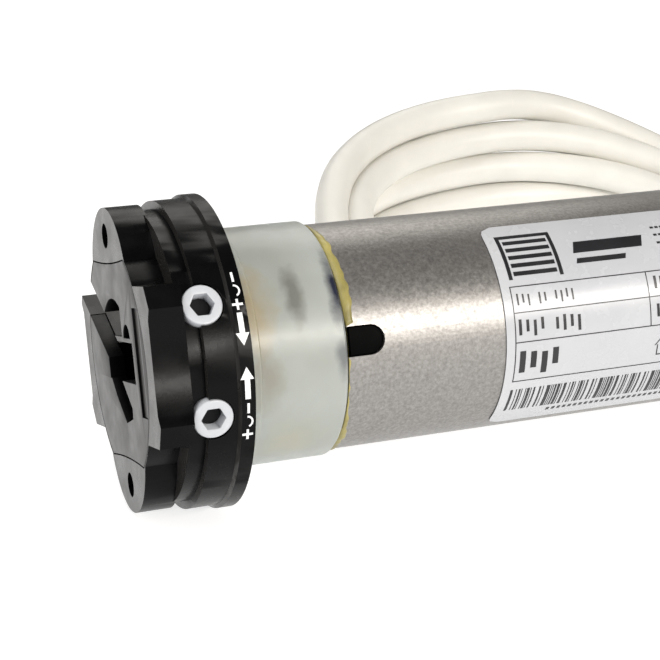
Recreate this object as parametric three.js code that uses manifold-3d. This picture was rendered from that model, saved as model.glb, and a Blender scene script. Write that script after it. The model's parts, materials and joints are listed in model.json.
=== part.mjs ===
// A 45 mm tubular roller shutter motor with mechanical limit switches, lying on a flat surface with its
// mains lead coiled behind it. Millimetres. The motor's axis runs along X: the mounting head is at -X, the
// output shaft at +X, and Z is up. Stations along the axis are counted from the head's front face.
import * as THREE from "three";
import { mergeVertices } from "three/addons/utils/BufferGeometryUtils.js";
import Module from "manifold-3d";

const wasm = await Module();
wasm.setup();

// ---- Driving dimensions -------------------------------------------------------------------------------
const GAP = 0.3; // running gap left between neighbouring pieces
const LENGTH = 462; // head face to the end of the output shaft
const ROLL = 15.75; // degrees the motor is turned about its axis, so its bolt line leans back

const HEAD = {
  rimR: 30.6, // the flange's rear rim, on which the head stands
  rim: [14.7, 17.8], // stations of that rim
  bodyR: 29.9,
  body: [9.3, 14.7],
  neckR: 28.3,
  plate: 6.6, // depth of the cross-shaped front plate
  lobeR: 14.5, // end radius of the two bolt lobes
  lobeReach: 29.4,
  armHalf: 14.5, // half width of the two side arms
  armReach: 29.6,
  spigotR: 20.05,
  spigotEnd: 22,
  boltPitch: 48,
  boltR: 2.5,
};
const COVER = { r: 23.2, half: 18.6, depth: 3, pocketR: 12.4, pocketDepth: 8.8 };
const CHANNEL = { width: 7.8, depth: 9.4, angle: 30, offset: 0.2 };
const ADJUSTER = { r: 3.75, station: 10.2, spread: 20.3, from: 20.6, to: 29.7, hexFlats: 4 };
const RING = { r: 23.4, lipR: 24, from: 18.3, to: 38.4, lip: 3.2 };
const TUBE = { r: 22.5, wall: 1, from: 38.8, to: 436 };
const SLOT = { width: 5.8, length: 7.5 };
const LABEL = { from: 71.4, length: 84, spread: 120, centre: -6, r: 22.62, thick: 0.15, corner: 2.5 };
const INNER_R = 21.2; // what slides into the tube
const LIMIT_GEAR = { module: 0.7, ring: 60, pinion: 16, small: 8, discA: 36, discB: 35, centre: 15.4 };
const LEVER_PIVOT = { reach: 13.9, along: -6.6 };
const LIMIT_UNITS = [
  { name: "up", angle: (5 * Math.PI) / 6, pinion: [26.8, 31], discs: [27, 29.1], switchAngle: Math.PI / 2 },
  { name: "down", angle: (7 * Math.PI) / 6, pinion: [31.1, 35.3], discs: [31.2, 33.3], switchAngle: 2.6 },
];
const STAGE = { module: 0.7, ring: 54, sun: 12, planet: 21, planets: 3 };
const TUBE_SCREWS = [0.9, 2.9]; // angles about the axis of the screws that hold the gearbox end
const SHAFT_R = 3;
const OUTPUT_R = 6;
const CABLE_R = 4.5;
const LEAD_STATION = 12.6; // where the lead leaves the head, on the side away from the adjusters
const COIL = { x: 147, y: 90, long: 74.5, wide: 55.5, band: 18.2, height: 46 }; // outer half sizes of the oval
const REST = (HEAD.rimR - TUBE.r) / (TUBE.to - HEAD.rim[1]); // rise of the resting surface along the axis

// ---- Looks --------------------------------------------------------------------------------------------
function look(color, roughness, metalness = 0) {
  return new THREE.MeshStandardMaterial({ color, roughness, metalness });
}
const BLACK_PLASTIC = look("#141414", 0.3);
const DARK_PLASTIC = look("#26262a", 0.5);
const WHITE_PLASTIC = look("#eceef0", 0.4);
const MILKY_PLASTIC = look("#d5d3c6", 0.35);
const YELLOW_PLASTIC = look("#d9a72c", 0.45);
const BLUE_PLASTIC = look("#1d2b4d", 0.5);
const TUBE_STEEL = look("#9b9894", 0.45, 0.6);
const BRIGHT_STEEL = look("#b9bcc0", 0.25, 1);
const DARK_STEEL = look("#6e7175", 0.5, 1);
const SINTERED = look("#7d7b78", 0.6, 0.9);
const ALUMINIUM = look("#c4c6c8", 0.35, 1);
const COPPER = look("#a4552a", 0.4, 0.8);
const LINING = look("#4a3d33", 0.9);
const PAPER = look("#dfe3ea", 0.3);
const WHITE_PVC = look("#efece2", 0.45);
const BLACK_RUBBER = look("#161616", 0.7);

// ---- Placing ------------------------------------------------------------------------------------------
const object = new THREE.Group();
object.position.set(-LENGTH / 2, 0, HEAD.rimR);
const motor = new THREE.Group(); // local Y points away from the adjusters, local Z up the bolt line
motor.rotation.x = THREE.MathUtils.degToRad(-ROLL);
object.add(motor);

function add(name, geometry, material, parent = motor) {
  const mesh = new THREE.Mesh(geometry, material);
  mesh.name = name;
  parent.add(mesh);
  return mesh;
}

// ---- Shape helpers ------------------------------------------------------------------------------------
const X = new THREE.Vector3(1, 0, 0);
const Y = new THREE.Vector3(0, 1, 0);
const Z = new THREE.Vector3(0, 0, 1);
const EXTRUDE_TO_X = new THREE.Matrix4().makeBasis(Y, Z, X);
const LATHE_TO_X = new THREE.Matrix4().makeBasis(Z, X, Y);

// A flat outline (its x is the motor's local Y, its y the local Z) made solid between two stations.
function plate(shape, from, to, curveSegments = 12) {
  const geometry = new THREE.ExtrudeGeometry(shape, { depth: to - from, bevelEnabled: false, curveSegments });
  geometry.applyMatrix4(EXTRUDE_TO_X);
  return geometry.translate(from, 0, 0);
}

// A closed outline of [station, radius] pairs turned about the axis.
function turned(profile, segments = 40) {
  const points = profile.map(([station, radius]) => new THREE.Vector2(radius, station));
  if (THREE.ShapeUtils.area(points) < 0) points.reverse();
  const onAxis = points[0].x === 0 && points[points.length - 1].x === 0;
  if (!onAxis) points.push(points[0].clone());
  return new THREE.LatheGeometry(points, segments).applyMatrix4(LATHE_TO_X);
}

// The profile of a ring with chamfered edges, for turned().
function ringProfile(from, to, inner, outer, chamfer = 0.4) {
  return [
    [from, inner],
    [from, outer - chamfer],
    [from + chamfer, outer],
    [to - chamfer, outer],
    [to, outer - chamfer],
    [to, inner],
  ];
}

function disc(radius, bore = 0) {
  const shape = new THREE.Shape().absarc(0, 0, radius, 0, 2 * Math.PI, false);
  if (bore > 0) shape.holes.push(new THREE.Path().absarc(0, 0, bore, 0, 2 * Math.PI, true));
  return shape;
}

function polygon(points) {
  return new THREE.Shape(points.map(([x, y]) => new THREE.Vector2(x, y)));
}

function rectangle(x0, x1, y0, y1) {
  return polygon([[x0, y0], [x1, y0], [x1, y1], [x0, y1]]);
}

function toManifold(source) {
  const plain = source.index ? source.toNonIndexed() : source.clone();
  plain.deleteAttribute("normal");
  plain.deleteAttribute("uv");
  const welded = mergeVertices(plain, 1e-4);
  const triangles = [];
  for (let i = 0; i < welded.index.count; i += 3) {
    const [a, b, c] = [0, 1, 2].map((k) => welded.index.getX(i + k));
    if (a !== b && b !== c && c !== a) triangles.push(a, b, c);
  }
  return new wasm.Manifold(
    new wasm.Mesh({
      numProp: 3,
      vertProperties: new Float32Array(welded.attributes.position.array),
      triVerts: new Uint32Array(triangles),
    }),
  );
}

function toGeometry(manifold) {
  const mesh = manifold.getMesh();
  const geometry = new THREE.BufferGeometry();
  geometry.setAttribute("position", new THREE.BufferAttribute(mesh.vertProperties, mesh.numProp));
  geometry.setIndex(new THREE.BufferAttribute(mesh.triVerts, 1));
  geometry.computeVertexNormals();
  return geometry;
}

function join(...geometries) {
  const [first, ...rest] = geometries.map(toManifold);
  return toGeometry(rest.reduce((sum, next) => sum.add(next), first));
}

function cut(body, ...tools) {
  return toGeometry(tools.map(toManifold).reduce((left, tool) => left.subtract(tool), toManifold(body)));
}

// Moves a geometry made along X so that it points outward along a radius at that angle from local +Y.
function radial(geometry, angle, station) {
  const outward = new THREE.Vector3(0, Math.cos(angle), Math.sin(angle));
  const side = new THREE.Vector3().crossVectors(outward, X);
  geometry.applyMatrix4(new THREE.Matrix4().makeBasis(outward, X, side));
  return geometry.translate(station, 0, 0);
}

// ---- Gears --------------------------------------------------------------------------------------------
// Tooth flanks are straight, at 20 degrees, and thinned so that meshed pairs run free. An internal gear's
// teeth point inward: its outline is a hole's.
function gearPoints(teeth, module, internal = false, phase = 0, slim = 0.36) {
  const pitchR = (teeth * module) / 2;
  const out = internal ? -1 : 1;
  const half = (slim * Math.PI * module) / 2;
  const lean = Math.tan(THREE.MathUtils.degToRad(20));
  const tip = { r: pitchR + out * 0.75 * module, half: half - lean * 0.75 * module };
  const root = { r: pitchR - out * 1.1 * module, half: half + lean * 1.1 * module };
  const points = [];
  for (let i = 0; i < teeth; i += 1) {
    const middle = phase + (2 * Math.PI * i) / teeth;
    for (const [corner, side] of [[root, -1], [tip, -1], [tip, 1], [root, 1]]) {
      const angle = middle + (side * corner.half) / corner.r;
      points.push(new THREE.Vector2(corner.r * Math.cos(angle), corner.r * Math.sin(angle)));
    }
  }
  return points;
}

function gear(teeth, module, bore, phase = 0) {
  const shape = new THREE.Shape(gearPoints(teeth, module, false, phase));
  if (bore > 0) shape.holes.push(new THREE.Path().absarc(0, 0, bore, 0, 2 * Math.PI, true));
  return shape;
}

function ringGear(teeth, module, outer, phase) {
  const shape = new THREE.Shape().absarc(0, 0, outer, 0, 2 * Math.PI, false);
  shape.holes.push(new THREE.Path(gearPoints(teeth, module, true, phase).reverse()));
  return shape;
}

// ---- Head ---------------------------------------------------------------------------------------------
function lobes() {
  const { lobeR, lobeReach } = HEAD;
  const centre = lobeReach - lobeR;
  const shape = new THREE.Shape();
  shape.absarc(0, centre, lobeR, 0, Math.PI, false);
  shape.absarc(0, -centre, lobeR, Math.PI, 2 * Math.PI, false);
  return shape;
}

function arms() {
  const { armHalf, armReach } = HEAD;
  const waist = armReach - 1.3;
  const edge = armHalf - 5;
  const right = [[armReach - 2.5, -armHalf], [armReach, -edge - 1], [waist, -edge + 1]];
  const left = right.map(([x, y]) => [-x, -y]);
  const mirrored = (points) => points.map(([x, y]) => [x, -y]).reverse();
  return polygon([...right, ...mirrored(right), ...left, ...mirrored(left)]);
}

// The groove that runs from the head's middle out to the far side, which leaves the two ears beside it.
function channel(width, depth, from = -1) {
  const length = 40;
  const geometry = plate(rectangle(-3, length, -width / 2, width / 2), from, depth);
  geometry.translate(0, 0, CHANNEL.offset);
  return geometry.rotateX(THREE.MathUtils.degToRad(CHANNEL.angle));
}

function coverShape(grow = 0) {
  const { r, half } = COVER;
  const shape = new THREE.Shape();
  const corner = Math.asin((half + 0.6 + grow) / (r + grow));
  const bulge = new THREE.Vector2((r + grow) * Math.cos(corner), (r + grow) * Math.sin(corner));
  shape.absarc(0, 0, r + grow, -corner, corner, false);
  shape.quadraticCurveTo(0, half - 0.6 + grow, -bulge.x, bulge.y);
  shape.absarc(0, 0, r + grow, Math.PI - corner, Math.PI + corner, false);
  shape.quadraticCurveTo(0, -half + 0.6 - grow, bulge.x, -bulge.y);
  return shape;
}

function headBody() {
  const { rimR, rim, bodyR, body, neckR, plate: depth, spigotR, spigotEnd } = HEAD;
  const front = join(plate(lobes(), 0, depth), plate(arms(), 0, depth), plate(disc(23.6), 0, depth, 20));
  const round = turned([
    [depth - 0.5, 0],
    [depth - 0.5, neckR],
    [body[0], neckR],
    [body[0], bodyR - 0.8],
    [body[0] + 0.8, bodyR],
    [rim[0], bodyR],
    [rim[0] + 0.5, rimR],
    [rim[1] - 0.6, rimR],
    [rim[1], rimR - 0.6],
    [rim[1], spigotR],
    [spigotEnd, spigotR],
    [spigotEnd, 0],
  ], 56);
  const bolts = [-1, 1].map((side) => {
    const hole = plate(disc(HEAD.boltR), -1, 7.5, 8);
    return hole.translate(0, 0, (side * HEAD.boltPitch) / 2);
  });
  const wells = [-1, 1].map((side) => {
    const well = turned([[19.8, 0], [19.8, ADJUSTER.r + GAP], [40, ADJUSTER.r + GAP], [40, 0]], 24);
    return radial(well, adjusterAngle(side), ADJUSTER.station);
  });
  const seat = plate(coverShape(GAP), -1, COVER.depth + GAP, 24);
  const pocket = plate(disc(COVER.pocketR), -1, COVER.pocketDepth, 20);
  const entry = radial(turned([[22, 0], [22, 4.6], [40, 4.6], [40, 0]], 24), 0, 12.6);
  return cut(join(front, round), ...bolts, ...wells, seat, pocket, channel(CHANNEL.width, CHANNEL.depth), entry);
}

function headCover() {
  const { depth, pocketR } = COVER;
  const sector = new THREE.Shape();
  const side = 6;
  const floor = 4.9;
  sector.moveTo(-side, floor);
  const start = Math.asin(floor / (pocketR - 0.4));
  const end = Math.PI - Math.acos(side / (pocketR - 0.4));
  sector.absarc(0, 0, pocketR - 0.4, start, end, false);
  const slot = polygon([[-1.4, -3], [7.6, -3], [3.8, -7], [-2.6, -11.8], [-8.2, -10.6], [-8.6, -8.6]]);
  const notch = new THREE.Shape().absarc(-9.8, floor - 0.2, 2.6, 0, Math.PI, false);
  const panel = plate(rectangle(-20.5, -16.2, -9.6, 10.5), -1, 0.5);
  const openings = [sector, slot, notch].map((shape) => plate(shape, -1, depth + 1, 8));
  const middle = plate(rectangle(-13.6, 8, -3.7, 3.9), -1, depth + 1);
  return cut(plate(coverShape(), 0, depth, 24), ...openings, middle, channel(CHANNEL.width, depth + 1), panel);
}

function adjusterAngle(side) {
  return Math.PI - side * THREE.MathUtils.degToRad(ADJUSTER.spread);
}

// A nylon adjusting screw: a plug with a deep hexagon socket, on a thinner stem.
function adjuster(side) {
  const { r, from, to, hexFlats, station } = ADJUSTER;
  const plug = turned([[from, 0], [from, 2], [23, 2], [23, r], [to - 0.3, r], [to, r - 0.3], [to, 0]], 24);
  const socket = turned([[25.2, 0], [25.2, hexFlats / Math.sqrt(3)], [40, hexFlats / Math.sqrt(3)], [40, 0]], 6);
  return radial(cut(plug, socket), adjusterAngle(side), station);
}

// ---- Limit switch unit, inside the driving ring -------------------------------------------------------
function limitRing() {
  const { r, lipR, from, to, lip } = RING;
  const { module, ring } = LIMIT_GEAR;
  const shell = turned([
    [from, 19.2],
    [from, lipR - 0.4],
    [from + 0.4, lipR],
    [from + lip - 0.4, lipR],
    [from + lip, r],
    [to - 0.8, r],
    [to, r - 0.8],
    [to, 19.2],
  ], 60);
  const teeth = plate(new THREE.Shape(gearPoints(ring, module, true, Math.PI / ring)), from - 1, to + 1);
  return cut(shell, teeth);
}

// One drive shaft: a gear in mesh with the ring, and a slim one in mesh with a pair of notched discs.
function limitPinion(angle, from, to) {
  const { module, pinion, small, centre, ring } = LIMIT_GEAR;
  // the big gear has a tooth along its own radius, the small one has a gap facing the discs
  const big = plate(gear(pinion, module, 0, angle), 24.2, 26.4);
  const stem = plate(disc(1.6), 22.5, to, 6);
  const slim = plate(gear(small, module, 0, angle), from, to);
  return join(big, stem, slim).translate(0, centre * Math.cos(angle), centre * Math.sin(angle));
}

function limitDisc(teeth, from, angle) {
  const { module } = LIMIT_GEAR;
  const phase = angle + Math.PI / teeth;
  const notch = turned([[from - 1, 0], [from - 1, 0.9], [from + 3, 0.9], [from + 3, 0]], 10);
  notch.translate(0, 10.6 * Math.cos(angle + 2.2), 10.6 * Math.sin(angle + 2.2));
  return cut(plate(gear(teeth, module, 6.7, phase), from, from + 1.8), notch);
}

// A microswitch, and the lever that lies between it and the discs' rims.
function limitSwitch(angle, from, to) {
  return plate(rectangle(15.2, 19.2, -5.2, 5.2), from, to).rotateX(angle);
}

function limitLever(angle, from, to) {
  const { reach, along } = LEVER_PIVOT;
  const bar = plate(rectangle(reach - 0.4, reach + 0.4, along, 5), from, to);
  const eye = plate(new THREE.Shape().absarc(reach, along, 0.9, 0, 2 * Math.PI, false), from, to, 8);
  return join(bar, eye).rotateX(angle);
}

// ---- Tube and what is fixed in it ---------------------------------------------------------------------
// The round-ended notch in the tube's mouth, as wide as twice `half`, and the key that fills it.
function slotShape(half, start, end) {
  const shape = new THREE.Shape();
  shape.moveTo(start, -half);
  shape.lineTo(end - half, -half);
  shape.absarc(end - half, 0, half, -Math.PI / 2, Math.PI / 2, false);
  shape.lineTo(start, half);
  return shape;
}

function motorTube() {
  const { r, wall, from, to } = TUBE;
  const mouth = plate(slotShape(SLOT.width / 2, -2, SLOT.length), 18, 26, 8);
  return cut(plate(disc(r, r - wall), from, to, 36), radial(mouth, Math.PI, from), ...screwHoles());
}

// The plug that closes the tube's mouth: it carries the ring's rear end and, on a hollow post, the discs.
function corePlug() {
  const body = turned([
    [22.4, 4.6],
    [22.4, 6.4],
    [36, 6.4],
    [36, 20.05],
    [39.1, 20.05],
    [39.1, INNER_R],
    [52, INNER_R],
    [52, 4.6],
  ], 36);
  const key = plate(slotShape(SLOT.width / 2 - GAP, 0.6, SLOT.length - GAP), 20.6, 22, 8);
  return join(body, radial(key, Math.PI, TUBE.from));
}

function ratingLabel() {
  const { from, length, spread, centre, r, thick } = LABEL;
  const middle = Math.PI - THREE.MathUtils.degToRad(centre);
  const half = THREE.MathUtils.degToRad(spread / 2);
  const shape = new THREE.Shape();
  shape.absarc(0, 0, r + thick, middle - half, middle + half, false);
  shape.absarc(0, 0, r, middle + half, middle - half, true);
  return plate(shape, from, from + length, 24);
}

function capacitor() {
  return turned([[64, 0], [64, 15], [65.5, 16.5], [132.5, 16.5], [134, 15], [134, 6], [136, 6], [136, 0]], 24);
}

// The wall stands at `from`; the hub with the bearing's seat reaches toward `seatSide` of it.
function endShield(from, seatSide) {
  const at = (offset) => from + seatSide * offset;
  return turned([
    [at(0), 3.4],
    [at(0), INNER_R],
    [at(4), INNER_R],
    [at(4), 11],
    [at(6), 11],
    [at(6), 8.3],
    [at(1), 8.3],
    [at(1), 3.4],
  ], 24);
}

function bearing(from) {
  return turned(ringProfile(from, from + 4.6, SHAFT_R + 0.05, 8, 0.4), 20);
}

function statorCore() {
  const slots = 12;
  const slotOutline = [[10.8, -0.18], [10.8, -0.05], [16, -0.13], [16, 0.13], [10.8, 0.05], [10.8, 0.18]];
  const points = Array.from({ length: slots }, (_, i) => {
    const middle = (2 * Math.PI * i) / slots;
    return slotOutline.map(([r, a]) => new THREE.Vector2(r * Math.cos(middle + a), r * Math.sin(middle + a)));
  });
  const shape = new THREE.Shape().absarc(0, 0, INNER_R, 0, 2 * Math.PI, false);
  shape.holes.push(new THREE.Path(points.flat().reverse()));
  return plate(shape, 162, 252, 20);
}

function endWinding(from, to) {
  const middle = (from + to) / 2;
  return turned([
    [from + 2, 11.5],
    [from, 13.5],
    [from, 18],
    [from + 2.5, 20.2],
    [middle, 20.6],
    [to - 2.5, 20.2],
    [to, 18],
    [to, 13.5],
    [to - 2, 11.5],
  ], 20);
}

function rotorCore() {
  return turned(ringProfile(162, 252, SHAFT_R + 0.1, 10.4, 0.6), 24);
}

// The shaft runs from the front bearing through the brake, and the first sun gear is cut on its end.
function rotorShaft() {
  return join(turned([[138.6, 0], [138.6, SHAFT_R], [306, SHAFT_R], [306, 0]], 20), sunGear(305, 319.6));
}

// ---- Brake --------------------------------------------------------------------------------------------
function brakeHousing() {
  return turned([
    [276, 19],
    [276, INNER_R],
    [302, INNER_R],
    [302, SHAFT_R + 0.6],
    [299, SHAFT_R + 0.6],
    [299, 19],
  ], 24);
}

function brakeDisc() {
  return turned([
    [289, SHAFT_R + 0.1],
    [289, 15.5],
    [293, 15.5],
    [293, 6],
    [296, 6],
    [296, SHAFT_R + 0.1],
  ], 24);
}

function brakePlate() {
  return turned(ringProfile(285, 288, 6.8, 18, 0.3), 24);
}

function brakeSpring() {
  const turns = 3;
  const wire = 0.7;
  const points = Array.from({ length: turns * 10 + 1 }, (_, i) => {
    const angle = (2 * Math.PI * i) / 10;
    return new THREE.Vector3(277.4 + (6.4 * i) / (turns * 10), 12.6 * Math.cos(angle), 12.6 * Math.sin(angle));
  });
  const section = new THREE.Shape().absarc(0, 0, wire, 0, 2 * Math.PI, false);
  const extrudePath = new THREE.CatmullRomCurve3(points);
  return new THREE.ExtrudeGeometry(section, { steps: turns * 14, extrudePath, curveSegments: 3 });
}

// ---- Planetary gearbox: three stages in one ring ------------------------------------------------------
const PLANET_CENTRE = ((STAGE.sun + STAGE.planet) * STAGE.module) / 2;

function planetAngle(i) {
  return (2 * Math.PI * i) / STAGE.planets;
}

function gearRing() {
  return plate(ringGear(STAGE.ring, STAGE.module, INNER_R, Math.PI / STAGE.ring), 304, 378, 20);
}

function sunGear(from, to) {
  return plate(gear(STAGE.sun, STAGE.module, 0), from, to);
}

// A planet has a tooth facing the ring, and with its odd count a gap facing the sun.
function planet(i, from, to) {
  const angle = planetAngle(i);
  const { planet: teeth, module } = STAGE;
  const geometry = plate(gear(teeth, module, 2.5, angle), from, to, 6);
  return geometry.translate(0, PLANET_CENTRE * Math.cos(angle), PLANET_CENTRE * Math.sin(angle));
}

// A carrier plate with its three pins, and what it drives: the next sun, or the output hub.
function carrier(pinsFrom, from, to, driven) {
  const body = plate(disc(16.4), from, to, 16);
  const pins = Array.from({ length: STAGE.planets }, (_, i) => {
    const pin = plate(disc(2.2), pinsFrom, from + 1, 6);
    return pin.translate(0, PLANET_CENTRE * Math.cos(planetAngle(i)), PLANET_CENTRE * Math.sin(planetAngle(i)));
  });
  return join(body, ...pins, driven);
}

const GEAR_STAGES = [
  { planets: [308, 319], plateAt: [321, 325], next: () => sunGear(324, 341) },
  { planets: [327, 341], plateAt: [342.4, 347], next: () => sunGear(346, 368.6) },
  { planets: [349, 368], plateAt: [370, 377], next: () => plate(disc(10), 376, 381, 10) },
];

// ---- Output end ---------------------------------------------------------------------------------------
function outputHousing() {
  const body = turned([[379, 12.3], [379, INNER_R], [434, INNER_R], [434, 8.4], [388, 8.4], [388, 12.3]], 24);
  return cut(body, ...screwHoles());
}

function outputBush() {
  return turned(ringProfile(389, 433, OUTPUT_R + 0.2, 8.1, 0.4), 20);
}

function outputShaft() {
  const groove = [[457.5, OUTPUT_R], [457.5, OUTPUT_R - 0.8], [458.8, OUTPUT_R - 0.8], [458.8, OUTPUT_R]];
  const bar = turned([
    [381.3, 0],
    [381.3, OUTPUT_R],
    ...groove,
    [LENGTH - 0.6, OUTPUT_R],
    [LENGTH, OUTPUT_R - 0.6],
    [LENGTH, 0],
  ], 24);
  const flats = [-1, 1].map((side) => plate(rectangle(-8, 8, side > 0 ? 5 : -8, side > 0 ? 8 : -5), 443, 457));
  return cut(bar, ...flats);
}

function endCap() {
  return turned([
    [434.4, OUTPUT_R + 0.3],
    [434.4, 21.1],
    [436.3, 21.1],
    [436.3, TUBE.r],
    [439.4, TUBE.r],
    [440, TUBE.r - 0.6],
    [440, OUTPUT_R + 0.3],
  ], 36);
}

function circlip() {
  const shape = new THREE.Shape();
  const open = 0.45;
  shape.absarc(0, 0, 7.4, open, 2 * Math.PI - open, false);
  shape.absarc(0, 0, OUTPUT_R - 0.5, 2 * Math.PI - open, open, true);
  return plate(shape, 457.7, 458.6, 10);
}

// The self-tapping screws through the tube into the output housing, and the holes they stand in.
function screwHoles() {
  return TUBE_SCREWS.map((angle) => radial(turned([[19.6, 0], [19.6, 1.7], [26, 1.7], [26, 0]], 12), angle, 428));
}

function tubeScrew(angle) {
  const body = turned([[20, 0], [20, 1.4], [22.8, 1.4], [22.8, 2.6], [23.6, 1.8], [23.6, 0]], 12);
  return radial(body, angle, 428);
}

// ---- Mains lead ---------------------------------------------------------------------------------------
// A point above the surface that the motor lies on, which rises from the flange to the thinner tube.
function onRest(x, y, height) {
  return new THREE.Vector3(x, y, height - HEAD.rimR + REST * (x - HEAD.rim[1]));
}

function fromHead(reach) {
  const angle = THREE.MathUtils.degToRad(-ROLL);
  return new THREE.Vector3(LEAD_STATION, reach * Math.cos(angle), reach * Math.sin(angle));
}

function strainRelief() {
  return radial(turned([[25, 0], [25, 4.3], [30.9, 4.3], [30.9, 5.8], [34, 5.8], [52, 4.8], [52, 0]], 20), 0, 0);
}

function cable(points, radius = CABLE_R, sides = 10, stepLength = 16) {
  const extrudePath = new THREE.CatmullRomCurve3(points);
  const steps = Math.max(2, Math.round(extrudePath.getLength() / stepLength));
  const corners = Array.from({ length: sides }, (_, i) => {
    const angle = (2 * Math.PI * i) / sides;
    return new THREE.Vector2(radius * Math.cos(angle), radius * Math.sin(angle));
  });
  return new THREE.ExtrudeGeometry(new THREE.Shape(corners), { steps, extrudePath });
}

function leadIn() {
  return cable([
    fromHead(52.3),
    fromHead(61),
    new THREE.Vector3(14.2, 69, -20.5),
    onRest(20, 81, 5.8),
    onRest(30, 92, 4.6),
    onRest(42, 102, 4.6),
    onRest(55, 110.5, 4.6),
    onRest(67, 117.5, 4.6),
    onRest(78.4, 122, 4.6),
  ]);
}

function leadTail() {
  return cable([
    onRest(226.6, 92, 15.4),
    onRest(227.2, 81, 12.8),
    onRest(229.6, 71, 9.8),
    onRest(234.5, 61.5, 7.2),
    onRest(242.5, 54, 5.4),
    onRest(252.5, 50, 4.7),
    onRest(264, 49, 4.6),
    onRest(276, 49, 4.6),
  ]);
}

function leadCoil() {
  const { x, y, long, wide, band, height } = COIL;
  const shape = new THREE.Shape().absellipse(x, y, long, wide, 0, 2 * Math.PI, false);
  shape.holes.push(new THREE.Path().absellipse(x, y, long - band, wide - band, 0, 2 * Math.PI, true));
  const geometry = new THREE.ExtrudeGeometry(shape, { depth: height, bevelEnabled: false, curveSegments: 20 });
  geometry.translate(-HEAD.rim[1], 0, 0);
  geometry.rotateY(-Math.atan(REST));
  return geometry.translate(HEAD.rim[1], 0, -HEAD.rimR);
}

// A bare core of the lead, fanned out from the cut end of its sheath.
function leadCore(offsetY, height, spread) {
  return cable([
    onRest(276.6, 49 + offsetY, 4.6 + height),
    onRest(284, 49.4 + offsetY + 0.3 * spread, 3.8 + height * 0.8),
    onRest(296, 50 + offsetY + spread, 2.2 + height * 0.4),
    onRest(308, 50.6 + offsetY + 1.6 * spread, 1.6),
  ], 1.25, 8, 6);
}

// ---- Assembly -----------------------------------------------------------------------------------------
add("head_body", headBody(), BLACK_PLASTIC);
add("head_cover", headCover(), BLACK_PLASTIC);
add("limit_screw_up", adjuster(1), WHITE_PLASTIC);
add("limit_screw_down", adjuster(-1), WHITE_PLASTIC);

add("limit_ring", limitRing(), MILKY_PLASTIC);
for (const unit of LIMIT_UNITS) {
  const { name, angle, pinion, discs, switchAngle } = unit;
  add(`limit_pinion_${name}`, limitPinion(angle, pinion[0], pinion[1]), YELLOW_PLASTIC);
  add(`limit_disc_${name}_a`, limitDisc(LIMIT_GEAR.discA, discs[0], angle), YELLOW_PLASTIC);
  add(`limit_disc_${name}_b`, limitDisc(LIMIT_GEAR.discB, discs[1], angle), YELLOW_PLASTIC);
  add(`limit_lever_${name}`, limitLever(switchAngle, discs[0], discs[1] + 1.8), WHITE_PLASTIC);
  add(`limit_switch_${name}`, limitSwitch(switchAngle, discs[0], discs[1] + 1.8), BLUE_PLASTIC);
}

add("core_plug", corePlug(), BLACK_PLASTIC);
add("motor_tube", motorTube(), TUBE_STEEL);
add("rating_label", ratingLabel(), PAPER);
add("capacitor", capacitor(), DARK_PLASTIC);
add("end_shield_front", endShield(139, 1), ALUMINIUM);
add("bearing_front", bearing(140.3), BRIGHT_STEEL);
add("winding_front", endWinding(149, 161.6), COPPER);
add("stator_core", statorCore(), DARK_STEEL);
add("winding_rear", endWinding(252.4, 265), COPPER);
add("rotor_core", rotorCore(), DARK_STEEL);
add("rotor_shaft", rotorShaft(), BRIGHT_STEEL);
add("end_shield_rear", endShield(270, -1), ALUMINIUM);
add("bearing_rear", bearing(264.1), BRIGHT_STEEL);
add("brake_housing", brakeHousing(), ALUMINIUM);
add("brake_disc", brakeDisc(), LINING);
add("brake_plate", brakePlate(), DARK_STEEL);
add("brake_spring", brakeSpring(), BRIGHT_STEEL);

add("gear_ring", gearRing(), SINTERED);
GEAR_STAGES.forEach(({ planets, plateAt, next }, index) => {
  for (let i = 0; i < STAGE.planets; i += 1) {
    add(`planet_${index + 1}_${"abc"[i]}`, planet(i, planets[0], planets[1]), SINTERED);
  }
  add(`carrier_${index + 1}`, carrier(planets[0], plateAt[0], plateAt[1], next()), BRIGHT_STEEL);
});
add("output_housing", outputHousing(), ALUMINIUM);
add("output_bush", outputBush(), SINTERED);
add("output_shaft", outputShaft(), BRIGHT_STEEL);
add("end_cap", endCap(), BLACK_PLASTIC);
add("circlip", circlip(), DARK_STEEL);
TUBE_SCREWS.forEach((angle, i) => add(`tube_screw_${i + 1}`, tubeScrew(angle), BRIGHT_STEEL));

add("cable_strain_relief", strainRelief().translate(LEAD_STATION, 0, 0), BLACK_RUBBER);
add("cable_lead", leadIn(), WHITE_PVC, object);
add("cable_coil", leadCoil(), WHITE_PVC, object);
add("cable_tail", leadTail(), WHITE_PVC, object);
add("core_brown", leadCore(-1.4, 1.4, -4), look("#6b3a1e", 0.5), object);
add("core_black", leadCore(1.4, 1.4, 0), look("#18181a", 0.5), object);
add("core_blue", leadCore(1.4, -1.4, 4), look("#2a5ba8", 0.5), object);
add("core_earth", leadCore(-1.4, -1.4, -1), look("#8aa03a", 0.5), object);

export default object;
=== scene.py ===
"""Looks of the roller shutter motor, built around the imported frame. Metres; pieces of the motor are drawn
in its own coordinates (station along the axis from the head's face, across, and up the bolt line), in
millimetres, and placed by place()."""
import json
import math

import bmesh
import bpy
from mathutils import Matrix, Vector, noise


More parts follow.
